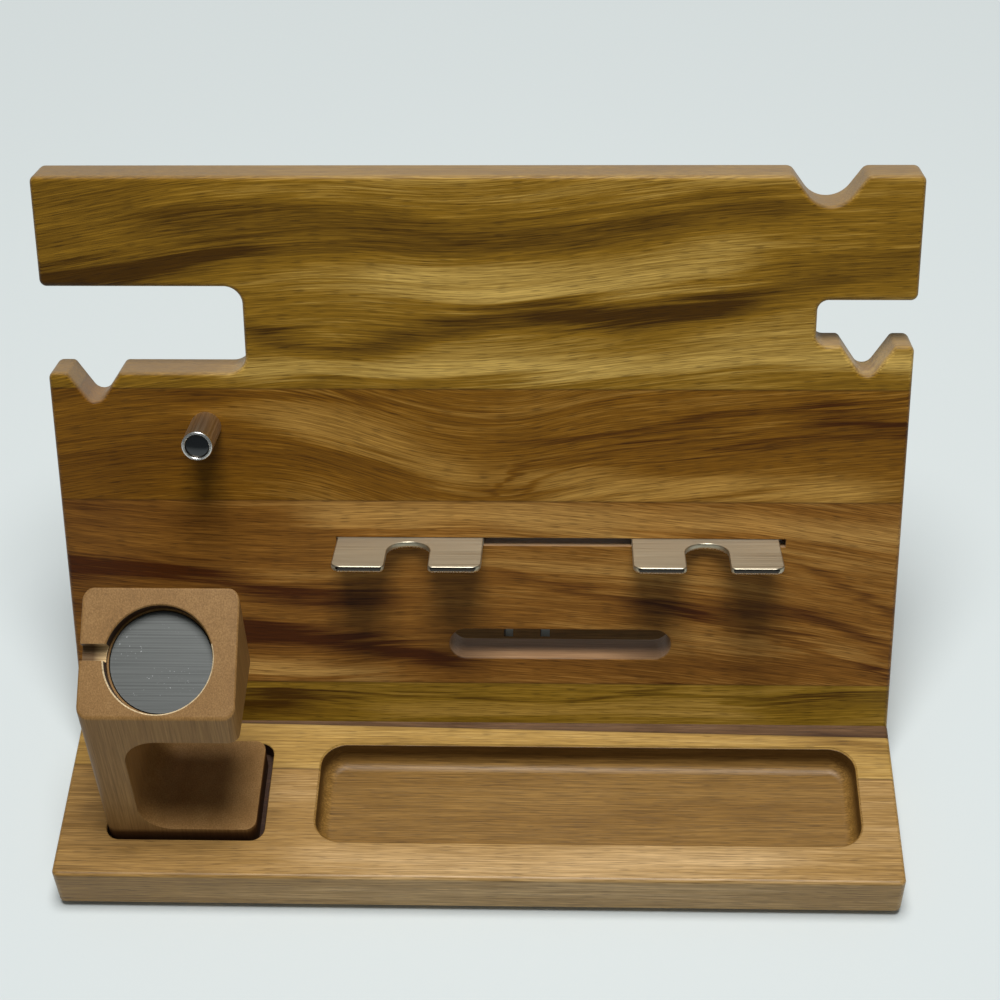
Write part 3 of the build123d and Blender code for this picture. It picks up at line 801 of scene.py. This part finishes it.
def long_hole(size, radius=0.0):
    """A long opening over the middle of the slit, clockwise as a hole has to be."""
    along, across = size.length / 2, size.width / 2
    return rectangle(
        SLIT.centre - along, SLIT.centre + along, size.height - across, size.height + across, radius)[::-1]


board_outline = rounded([
    (left, -BOARD.housed, 0), (right, -BOARD.housed, 0), *arm_gap(right, -1, RIGHT_GAP),
    (right, BOARD.height, BOARD.corner),
    *notch_corners(right - CREST_NOTCH.inset, BOARD.height, CREST_NOTCH),
    (left, BOARD.height, BOARD.corner), *arm_gap(left, 1, LEFT_GAP)[::-1],
])
back_board = plate(
    "back_board_dressed", board_outline, BOARD.thickness, BOARD.round, board_frame,
    (long_hole(SLIT), long_hole(SLOT, SLOT.width / 2 - SHORT_OF)), (SLIT.ease, SLOT.ease))
carve(back_board, [turned("cutter", PEG_HOLE, 64, peg_frame)])
back_board.data.transform(board_frame)
back_board.matrix_world = Matrix()
dress(back_board, [board_wood, slot_wood], "stand", "back_board")

# The wall of the cable slot, behind its front rim, gets the sanded wood.
into_board = board_frame.inverted()
for face in back_board.data.polygons:
    x, y, z = into_board @ face.center / MM
    steep = abs((into_board.to_3x3() @ face.normal).z) < 0.7
    over_slot = abs(x - SLIT.centre) < SLOT.length / 2 + 1 and abs(y - SLOT.height) < SLOT.width / 2 + 1
    if over_slot and steep and z < -SLOT.ease / 2:
        face.material_index = 1

# %% [markdown]
# ## Base
#
# The base is a plate as well. The tray was cut with a bowl cutter, which leaves
# round corners and a round foot to the wall. A plain recess takes the watch stand, a
# slanted groove takes the foot of the board, and two kerfs hold cables.

# %% Base
base_outline = rectangle(left, right, front, rear, BASE.corner)
base = plate("base_board_dressed", base_outline, BASE.thickness, BASE.ease, moved(0, 0, top))


def pocket_cutter(area, corner, depth, floor_radius, rim, parts=8):
    """Widens by rim at the mouth, runs down the wall, and turns into the floor."""
    profile = [(-rim, PAST), (-rim, 0.0)]
    profile += [(-rim * (1 - k / 3), -rim * math.sin(math.pi / 2 * k / 3)) for k in (1, 2, 3)]
    foot = reversed(rim_profile(floor_radius, parts)) if floor_radius else [(0.0, 0.0)]
    profile += [(inset, -height - depth) for inset, height in foot]
    return stack("cutter", [rectangle(*area, corner)], [profile], moved(0, 0, top))


tray_right = right - TRAY.right
tray_front = front + TRAY.front
tray_area = (tray_right - TRAY.length, tray_right, tray_front, tray_front + TRAY.width)
recess_area = (left + RECESS.left, stand_right + RECESS.gap_right,
               front + RECESS.front, stand_rear + RECESS.gap_rear)
carve(base, [
    pocket_cutter(tray_area, TRAY.corner, TRAY.depth, TRAY.floor, TRAY.rim),
    pocket_cutter(recess_area, RECESS.corner, RECESS.depth, 0, RECESS.rim),
    box_cutter(left - PAST, right + PAST, -BOARD.housed, BOARD.thickness + PAST,
               -BOARD.thickness - BOARD.play, BOARD.play, board_frame),
    *(box_cutter(x - KERF.width / 2, x + KERF.width / 2, rear - KERF.depth, rear + PAST, -PAST, top + PAST)
      for x in (KERF.centre - KERF.apart / 2, KERF.centre + KERF.apart / 2)),
])

# %% Screw holes and the woods of the base
board_foot = BOARD.housed * math.cos(lean) + BOARD.thickness / 2 * math.sin(lean)
screw_reach = (top - board_foot - FOOT.height) / math.cos(lean)


def screw_frame(x):
    """On the board's mid-thickness at its foot, z down the slope."""
    return board_frame @ moved(x, -BOARD.housed, -BOARD.thickness / 2) @ QUARTER_TURN


head_seat = screw_reach - SCREW.pocket_depth
for x in SCREW.xs:
    carve(base, [
        round_cutter(SCREW.shank + SCREW.play, -1, screw_reach + PAST, screw_frame(x), 32),
        round_cutter(SCREW.pocket, head_seat, screw_reach + 3 * PAST, screw_frame(x), 48),
    ])
dress(base, [base_wood, pocket_wood, recess_wood], "stand", "base_board")

# Below its rim, each pocket gets a darker wood of its own, which is painted shade.
around = 0.6
for face in base.data.polygons:
    x, y, z = face.center / MM
    for index, ((x0, x1, y0, y1), rim) in enumerate(((tray_area, 0.45), (recess_area, 0.2))):
        over_pocket = x0 - around < x < x1 + around and y0 - around < y < y1 + around
        if over_pocket and -TRAY.depth - 1 < z < -rim:
            face.material_index = 1 + index

# %% [markdown]
# ## Watch stand
#
# The stand is a C-shaped block: an upright at the left, a thin foot plate that drops
# into the recess, and a head whose top slopes towards the sleeper. It starts as a
# prism with its top cut on the slope. The window is carved out, sharp edges are
# softened, and the charger recess, the disc's pocket and the cable channel are cut.

# %% Watch stand
TO_FLOOR = -200.0  # a height that stands for the floor of the recess


def on_slope(point, height):
    """Heights count from the sloping face, apart from the one that stands for the floor."""
    if height == TO_FLOOR:
        return top - RECESS.depth
    return top + STAND.front + (point.y - stand_front) * math.tan(tilt) + height


stand_outline = rectangle(stand_left, stand_right, stand_front, stand_rear, STAND.corner)
slope_profile = rim_profile(STAND.edge) + [(0, TO_FLOOR)]
watch_stand = stack("watch_stand_dressed", [stand_outline], [slope_profile], height_at=on_slope)
window_left, window_right = stand_left + STAND.leg, stand_right + 12
window_low = top + STAND.plate
window_high = window_low + WINDOW.height
window_outline = rounded([
    (window_left, window_low, WINDOW.corner), (window_right, window_low, 0),
    (window_right, window_high, 0), (window_left, window_high, WINDOW.corner),
], step=math.radians(4))
through = [(0, PAST), (0, -STAND.depth - PAST)]
carve(watch_stand, [stack("cutter", [window_outline], [through], moved(0, stand_front, 0) @ QUARTER_TURN)])
soften(watch_stand, WINDOW.edge)

# %% Charger recess and cable channel
charger_floor = face_frame @ moved(0, -CHARGER.offset, -CHARGER.depth)
wall, depth, half_channel = CHARGER.radius, CHARGER.depth, CHARGER.channel / 2
mouth = wall + CHARGER.mouth
carve(watch_stand, [
    turned("cutter", [(0, 0), (wall, 0), (wall, depth - CHARGER.mouth), (mouth, depth), (mouth, 9), (0, 9)],
           128, charger_floor),
    round_cutter(DISC.radius + DISC.gap, -DISC.thickness, 1, charger_floor, 128),
    box_cutter(-STAND.width / 2 - PAST, 0, -half_channel, half_channel, -CHARGER.channel_depth, PAST, face_frame),
])
dress(watch_stand, [stand_wood, raw_wood_and_highlight, recess_wood, channel_wood], "watch_holder", "watch_stand")

# The lower part of the slanted mouth is raw wood with a painted highlight, the recess wall is painted dark as
# painted shade, and the channel gets its routed wood.
into_face = charger_floor.inverted()
for face in watch_stand.data.polygons:
    spot, direction = into_face @ face.center / MM, into_face.to_3x3() @ face.normal
    from_axis = math.hypot(spot.x, spot.y) - 0.02
    in_channel = spot.x < 1 - wall and abs(spot.y - CHARGER.offset) < half_channel + 0.05
    if wall < from_axis < mouth - 0.02 and 0.2 < direction.z < 0.95 and spot.y < 4:
        face.material_index = 1
    elif from_axis < wall and -0.1 < spot.z < depth and abs(direction.z) < 0.1:
        face.material_index = 2
    elif in_channel and 0.5 < spot.z < depth - 0.1 and abs(direction.x) < 0.3:
        face.material_index = 3

# %% Disc in the charger recess
disc_profile = [(0, 0), (DISC.radius - DISC.edge, 0), (DISC.radius, -DISC.edge),
                (DISC.radius, -DISC.thickness), (0, -DISC.thickness)]
disc = turned("watch_disc_dressed", disc_profile, 128, charger_floor)
dress(disc, [disc_steel], "watch_holder", "watch_disc")

# %% [markdown]
# ## Phone brackets
#
# Each bracket is one strip of steel sheet, bent down behind the board. The shelf in
# front is a plate with a ground rim and a round-ended notch for the charging plug.
# The tongue in the slit and the flange behind are an L-shaped strip, joined to it.

# %% Phone brackets
# The first turns an outline's y out of the board, and the second its x.
STAND_UP = Matrix(((1, 0, 0, 0), (0, 0, 1, 0), (0, 1, 0, 0), (0, 0, 0, 1)))
ON_EDGE = Matrix(((0, 0, 1, 0), (0, 1, 0, 0), (1, 0, 0, 0), (0, 0, 0, 1)))


def bracket(side, left_end):
    """left_end is the board position of the bracket's left side, in millimetres."""
    half, sheet, reach = BRACKET.width / 2, BRACKET.sheet, BRACKET.reach
    plug = PLUG.width / 2
    shelf_outline = rounded([
        (-half, -BRACKET.inside, 0), (half, -BRACKET.inside, 0), (half, reach, BRACKET.corner),
        (plug, reach, PLUG.corner), (plug, PLUG.bridge, plug - SHORT_OF),
        (-plug, PLUG.bridge, plug - SHORT_OF), (-plug, reach, PLUG.corner), (-half, reach, BRACKET.corner),
    ])
    middle = board_frame @ moved(left_end + half, SLIT.height + sheet / 2, 0)
    rims = eased_profile(sheet, BRACKET.bevel, BRACKET.underside)
    shelf = stack(f"phone_bracket_{side}_dressed", [shelf_outline], [rims], middle @ STAND_UP)
    back = -(BOARD.thickness + BRACKET.bend + sheet)
    strip_outline = rounded([
        (0.0, 0, 0), (0.0, -sheet, 0), (back + sheet, -sheet, BRACKET.bend),
        (back + sheet, -BRACKET.flange, 0), (back, -BRACKET.flange, 0), (back, 0, BRACKET.bend + sheet),
    ])
    strip = stack("cutter", [strip_outline], [[(0, 0), (0, -2 * half)]], middle @ moved(half, 0, 0) @ ON_EDGE)
    carve(shelf, [strip], "UNION")
    dress(shelf, [bracket_steel, edge_painted_reflection, rim_steel], f"{side}_bracket", f"phone_bracket_{side}")
    return shelf


slit_left, slit_right = SLIT.centre - SLIT.length / 2, SLIT.centre + SLIT.length / 2
left_bracket = bracket("left", slit_left + BRACKET.from_slit_left)
right_bracket = bracket("right", slit_right - BRACKET.from_slit_right - BRACKET.width)

# %% [markdown]
# The cut edge of the sheet is polished. Its flat band gets a dark colour, a painted
# reflection of a dark room, and its rounded lower rim shows the pale table. Both are picked
# by place and direction: the band looks straight out of the board, and the rim looks down.

# %% Polished cut edges
for piece in (left_bracket, right_bracket):
    for face in piece.data.polygons:
        if face.center.y > (BRACKET.reach - 1) * MM and face.normal.y > 0.9:
            face.material_index = 1
        elif face.center.y > 1.0 * MM and -0.97 < face.normal.z < -0.25:
            face.material_index = 2

# %% [markdown]
# ## Peg, cap and screws
#
# The peg is turned from steel bar: a brushed barrel, a polished rim, and a pocket in
# its end that holds a glossy black cap. A countersunk screw holds it from behind.
# Three pan-head screws hold the board from under the base. Threads stay hidden, but
# each head gets its cross recess.

# %% Peg and cap
peg_end, cap_low = PEG.length, PEG.length - PEG.pocket_depth
peg_profile = [(0, 0), (PEG.radius, 0), (PEG.radius, peg_end - PEG.rim)]
peg_profile += [(PEG.radius - inset, peg_end + height) for inset, height in rim_profile(PEG.bevel, 6)[-2::-1]]
peg_profile += [(PEG.pocket + 0.1, peg_end), (PEG.pocket, peg_end - 0.1), (PEG.pocket, cap_low), (0, cap_low)]
peg = turned("hook_peg_dressed", peg_profile, 96, peg_frame)
dress(peg, [peg_steel, rim_steel], "stand", "hook_peg")
for face in peg.data.polygons:
    if face.center.z > (peg_end - PEG.rim) * MM:
        face.material_index = 1

cap_profile = [(radius, cap_low + height) for radius, height in pad_profile(PEG.cap, PEG.cap_height, PEG.cap_round)]
cap = turned("hook_peg_cap_dressed", cap_profile, 96, peg_frame)
dress(cap, [cap_plastic], "stand", "hook_peg_cap")

# %% Screws
def cross_cutters(wide, depth, matrix, sign):
    """Two slots at right angles, cut into a head from height 0 downwards along the sign."""
    low, high = sorted((-sign * depth, sign))
    thin = wide * 0.17
    return [box_cutter(-x, x, -y, y, low, high, matrix) for x, y in ((wide, thin), (thin, wide))]


peg_screw = turned("hook_peg_screw_dressed", PEG_SCREW, 64, peg_frame)
carve(peg_screw, cross_cutters(1.9, 1.3, peg_frame @ moved(0, 0, PEG_SCREW[0][1]), -1))
dress(peg_screw, [screw_steel], "stand", "hook_peg_screw")

head_end = head_seat + SCREW.head_height
screw_profile = [(0, SCREW.tip), (SCREW.shank, SCREW.tip + SCREW.point), (SCREW.shank, head_seat),
                 (SCREW.head, head_seat), (SCREW.head, head_end - SCREW.crown),
                 (SCREW.head - 0.3, head_end - 0.45), (SCREW.head - SCREW.crown, head_end), (0, head_end)]
for index, x in enumerate(SCREW.xs):
    screw = turned(f"board_screw_{index + 1}", screw_profile, 48, screw_frame(x))
    carve(screw, cross_cutters(1.8, 1.4, screw_frame(x) @ moved(0, 0, head_end), 1))
    dress(screw, [screw_steel], "stand", "board_screws")

# %% [markdown]
# ## Rubber feet
#
# Four small turned pads keep the base off the table and leave the thin dark line
# under it.

# %% Rubber feet
upturned = pad_profile(FOOT.radius, FOOT.height, FOOT.round)
foot_profile = [(radius, FOOT.height - height) for radius, height in reversed(upturned)]
count = 0
for x in (left + FOOT.inset, right - FOOT.inset):
    for y in (front + FOOT.inset, rear - FOOT.inset):
        count += 1
        foot = turned(f"rubber_foot_{count}", foot_profile, 48, moved(x, y, 0))
        dress(foot, [foot_rubber], "stand", "rubber_feet")

# %% [markdown]
# ## Table top and light
#
# The stand lies on a plain pale surface. Seen by the camera, it turns into an even
# pale haze away from the stand, so it has no horizon. A broad soft lamp hangs over it
# and a little in front, and dim pale surroundings soften the shadows.

# %% Floor
PALE = "#DAE1E1"
TABLE = Sizes(half=4.0, haze_starts=0.32, haze_full=0.8)

table, node = new_material("pale_table_top")
away = node("VectorMath.LENGTH", (node("TexCoord").node.outputs["Object"],))
far = node("MapRange", (away.node.outputs["Value"], TABLE.haze_starts, TABLE.haze_full))
hazy = node("Math.MULTIPLY", (far, node("LightPath").node.outputs["Is Camera Ray"]))
lit = node("BsdfPrincipled", {"Base Color": linear(PALE), "Roughness": 0.8})
haze = node("Emission", {"Color": linear(PALE)})
node("OutputMaterial", (node("MixShader", (hazy, lit, haze)),))
floor_mesh = bpy.data.meshes.new("table_top")
floor_corners = [(x * TABLE.half, y * TABLE.half, 0) for x, y in ((-1, -1), (1, -1), (1, 1), (-1, 1))]
floor_mesh.from_pydata(floor_corners, [], [(0, 1, 2, 3)])
floor_mesh.materials.append(table)
table_top = place(floor_mesh)

# %% Light
SURROUNDINGS = Sizes(light=0.19, seen=1.0)
world = bpy.data.worlds.new("surroundings")
bpy.context.scene.world = world
world.use_nodes = True
background = world.node_tree.nodes["Background"]
background.inputs["Color"].default_value = linear(PALE)
seen = add(world, "LightPath").node.outputs["Is Camera Ray"]
strength = add(world, "MapRange", (seen, 0.0, 1.0, SURROUNDINGS.light, SURROUNDINGS.seen))
world.node_tree.links.new(strength, background.inputs["Strength"])

LAMP = Sizes(x=0.03, y=-0.06, z=1.6, aim=0.05, size=0.7, watts=24.5)
lamp_data = bpy.data.lights.new("soft_lamp", "AREA")
lamp_data.shape = "DISK"
lamp_data.size = LAMP.size
lamp_data.energy = LAMP.watts
spot = Vector((LAMP.x, LAMP.y, LAMP.z))
towards = (Vector((0, 0, LAMP.aim)) - spot).to_track_quat("-Z", "Y")
place(lamp_data, Matrix.Translation(spot) @ towards.to_matrix().to_4x4())

bpy.context.scene.view_settings.view_transform = "Standard"
